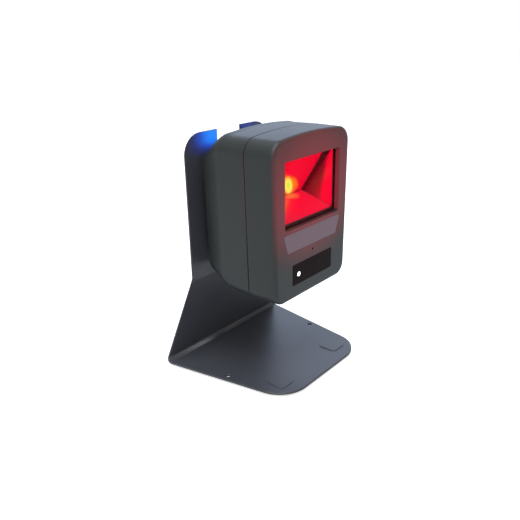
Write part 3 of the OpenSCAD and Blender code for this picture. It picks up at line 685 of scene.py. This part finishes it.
# ---------- the head ----------
# How far the pane reaches behind the rim of its opening
PANE_LAP = 1.8

# The two label plates, and the depth of their seats
NAME_CORNERS = [(-32.6, 35), (32.6, 35), (38, 50.4), (-38, 50.4)]
DATA_CORNERS = [(-27, 6.4), (27, 6.4), (27, 24), (-27, 24)]
PLATE_DEPTH = 0.6
CUT_FRONT = -1.5


def outline(corners, radius, steps):
    """The points of an outline with the same arc at each corner."""
    points = rounded_outline(corners, [radius] * len(corners), steps)
    return [(p.x, p.y) for p in points]


def window_outline(grow):
    """The window's opening, grown on every side."""
    low_x = WINDOW_LOW.x / MM + PANE_LAP - grow
    high_x = WINDOW_HIGH.x / MM - PANE_LAP + grow
    low_v = (WINDOW_LOW.z - DATUM_Z) / MM + PANE_LAP - grow
    high_v = (WINDOW_HIGH.z - DATUM_Z) / MM - PANE_LAP + grow
    return outline([(low_x, low_v), (high_x, low_v), (high_x, high_v), (low_x, high_v)], 2.0, 5)


SCREWS = ((31, 18), (26, 118.4))
SCREW_SEAT_W = 46
WELL_RADIUS = 3.1
POST_RADIUS = 4.0
LENS = (-18.5, 14.5)
LENS_RADIUS = 1.95
SOUND_V = 30.4

# The hinge's pocket: half width, front, top and wall
POCKET_X = 20
POCKET_W = 62
POCKET_TOP = 36
POCKET_WALL = 2

# Where a cutter ends to pass clear through the back or the underside
PAST_BACK = 95
PAST_FOOT = -15


def build_front_shell(materials):
    """The front shell: the window's rim, the seats of both plates, the lens hole and the sound hole."""
    piece = sound_piece("front_shell", front_shell_mesh(), materials["shell_plastic"])
    carve(piece, [
        prism("cut_window", window_outline(0), CUT_FRONT, 6, 0.6),
        prism("cut_name", outline(NAME_CORNERS, 1.5, 4), CUT_FRONT, PLATE_DEPTH, 0.15),
        prism("cut_data", outline(DATA_CORNERS, 1.0, 4), CUT_FRONT, PLATE_DEPTH, 0.15),
        prism("cut_lens", disc(*LENS, LENS_RADIUS), CUT_FRONT, 5),
        prism("cut_sound", disc(0, SOUND_V, 0.9), CUT_FRONT, 5, 0.2),
    ])
    rim = prism("rim", window_outline(3), WALL - 0.2, RIM_W)
    carve(rim, [prism("cut_rim", window_outline(0), -1, 6)])
    carve(piece, [rim], "UNION")
    clean(piece)
    smooth(piece)
    weigh(piece)
    adopt(piece, "front_housing")


def screw_prisms(name, radius, w_from):
    """A round cutter at each housing screw, from a depth out through the back."""
    return [prism(name, disc(side * x, v, radius), w_from, PAST_BACK) for x, v in SCREWS for side in (-1, 1)]


def build_rear_shell(materials):
    """The rear shell: an outer form less a hollow that leaves the hinge pocket and screw wells walled."""
    plastic = materials["shell_plastic"]
    piece = head_block("rear_shell", rear_stations(), 0, plastic)
    inside = [(w, 0) for w in span(SEAM_W - 3, HEAD_DEPTH - WALL, 18)]
    hollow = head_block("hollow", inside, WALL, plastic)
    posts = screw_prisms("post", POST_RADIUS, SEAM_W - 5)
    around = POCKET_X + POCKET_WALL
    carve(hollow, [box_cutter("pocket_wall", (-around, POCKET_W - POCKET_WALL, PAST_FOOT),
                              (around, PAST_BACK, POCKET_TOP + POCKET_WALL)), *posts])
    wells = screw_prisms("well", WELL_RADIUS, SCREW_SEAT_W)
    pocket = box_cutter("cut_pocket", (-POCKET_X, POCKET_W, PAST_FOOT), (POCKET_X, PAST_BACK, POCKET_TOP))
    carve(piece, [hollow, pocket, jack_cutter(), light_cutter(), button_cutter(), *wells])
    clean(piece)
    smooth(piece)
    weigh(piece)
    adopt(piece, "rear_cover")


def jack_cutter():
    """The cable socket's mouth."""
    low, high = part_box("interface_jack")
    gap = 0.2
    return box_cutter("cut_jack", (low.x / MM - gap, 70, (low.z - DATUM_Z) / MM - gap),
                      (high.x / MM + gap, PAST_BACK, (high.z - DATUM_Z) / MM + gap))


# The blue light's slot: the middle of the head's sloping back, the slope's rise and run, its size
SLOPE_MIDDLE = (67.8, 114.6)
SLOPE_RISE, SLOPE_RUN = 21.2, 25.6
SLOT_SIZE = (32.2, 7.2, 16)


def light_cutter():
    """The slot for the blue light, square to the head's sloping back."""
    bm = bmesh.new()
    bmesh.ops.create_cube(bm, size=1)
    tilt = Matrix.Rotation(-math.atan2(SLOPE_RISE, SLOPE_RUN), 4, "X")
    size = Matrix.Diagonal((*(side * MM for side in SLOT_SIZE), 1))
    bm.transform(Matrix.Translation(head_point(0, *SLOPE_MIDDLE)) @ tilt @ size)
    return put_piece("cut_light", bm)


def button_cutter():
    """The round hole for the tone button, through the underside."""
    low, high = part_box("tone_button")
    radius = 3.8 * MM
    bm = bmesh.new()
    bmesh.ops.create_cone(bm, cap_ends=True, segments=48, radius1=radius, radius2=radius, depth=10 * MM)
    bm.transform(Matrix.Translation(((low.x + high.x) / 2, (low.y + high.y) / 2, DATUM_Z + LOW_V * MM)))
    return put_piece("cut_button", bm)


# ---------- carried-over CAD nodes ----------
def dress_nodes(materials):
    """Gives every CAD node its material and smooth shading."""
    slots = {entry["node"]: entry["material_slot"] for entry in frame["record"]["subparts"]}
    for name, piece in NODES.items():
        piece.data.materials.clear()
        piece.data.materials.append(materials[slots[name]])
        smooth(piece, 30)


def soften(name, width, segments=3):
    """Rounds a CAD node's edges, with its flats joined first and slivers welded after."""
    flat = NODES[name].modifiers.new("join_flats", "DECIMATE")
    flat.decimate_type = "DISSOLVE"
    flat.angle_limit = math.radians(0.5)
    bevel = NODES[name].modifiers.new("soft_edge", "BEVEL")
    bevel.width = width
    bevel.segments = segments
    bevel.limit_method = "ANGLE"
    bevel.angle_limit = math.radians(40)
    weld = NODES[name].modifiers.new("weld", "WELD")
    weld.merge_threshold = WELD
    weigh(NODES[name])


# ---------- studio ----------
def add_floor():
    """A white floor, brighter to the camera than to the object."""
    m = Nodes("floor")
    seen = m.add("ShaderNodeLightPath").outputs["Is Camera Ray"]
    m.set(colour=m.ramp(m.noise(3, 2), [(0.4, (0.78, 0.78, 0.78)), (0.6, (0.80, 0.80, 0.80))]),
          roughness=0.6, specular=0.2, emission=(1, 1, 1), strength=m.math("MULTIPLY", seen, 0.6))
    bm = bmesh.new()
    bmesh.ops.create_grid(bm, x_segments=1, y_segments=1, size=4)
    floor = put_piece("floor", bm, m.material)
    floor.location.z = -0.0002


AMBIENT = 0.55
LIGHT_TARGET = Vector((0, 0, 0.1))


def area_light(name, place, size, power, colour=(1, 1, 1)):
    """A soft light aimed at the object, which the camera doesn't see."""
    data = bpy.data.lights.new(name, "AREA")
    data.shape = "RECTANGLE"
    data.size, data.size_y = size
    data.energy = power
    data.color = colour
    light = bpy.data.objects.new(name, data)
    light.location = place
    light.rotation_euler = (LIGHT_TARGET - Vector(place)).to_track_quat("-Z", "Y").to_euler()
    light.visible_camera = False
    bpy.context.scene.collection.objects.link(light)


def add_studio():
    """A white backdrop that lights the object less than it shows, and three soft lights."""
    world = bpy.data.worlds.new("studio")
    bpy.context.scene.world = world
    world.use_nodes = True
    background = world.node_tree.nodes["Background"]
    background.inputs["Color"].default_value = (1, 1, 1, 1)
    seen = world.node_tree.nodes.new("ShaderNodeLightPath").outputs["Is Camera Ray"]
    strength = world.node_tree.nodes.new("ShaderNodeMapRange")
    strength.inputs["To Min"].default_value = AMBIENT
    world.node_tree.links.new(seen, strength.inputs["Value"])
    world.node_tree.links.new(strength.outputs[0], background.inputs["Strength"])
    bpy.context.scene.view_settings.view_transform = "Standard"
    area_light("key", (-0.9, -0.5, 1.1), (0.9, 0.9), 7)
    area_light("top", (-0.2, -0.1, 1.3), (0.9, 0.9), 16, (0.82, 0.90, 1.0))
    area_light("sheen", (0.9, 0.76, 0.7), (1.2, 0.7), 5.5, (0.55, 0.70, 1.0))


def all_materials():
    """Every material by the record's slot, in the order in which they are made."""
    materials = {name: grained(name, *look) for name, look in GRAINED.items()}
    materials["shell_plastic"] = shell_material()
    materials["stand_paint"] = stand_material()
    materials["mirror_silver"] = fold_material()
    materials["window_red"] = window_material()
    materials["lens_white"] = lit("lens_white", (0.9, 0.93, 1.0), (1.0, 1.0, 1.0), 2.5)
    materials["led_clear"] = lit("led_clear", (0.5, 0.6, 1.0), (0.8, 0.85, 1.0), 1.5)
    materials["light_blue"] = lit("light_blue", (0.0, 0.1, 0.9), (0.02, 0.25, 1.0), 1.5)
    return materials


def main():
    add_camera()
    materials = all_materials()
    dress_nodes(materials)
    for name, material in (("floor_mirror", floor_material()), ("right_mirror", right_material()),
                           ("left_mirror", left_material())):
        NODES[name].data.materials[0] = material
    for name, width in (("stand_plate", 0.4), ("name_plate", 0.1), ("data_plate", 0.1)):
        soften(name, width * MM)
    build_front_shell(materials)
    build_rear_shell(materials)
    add_floor()
    add_studio()


main()
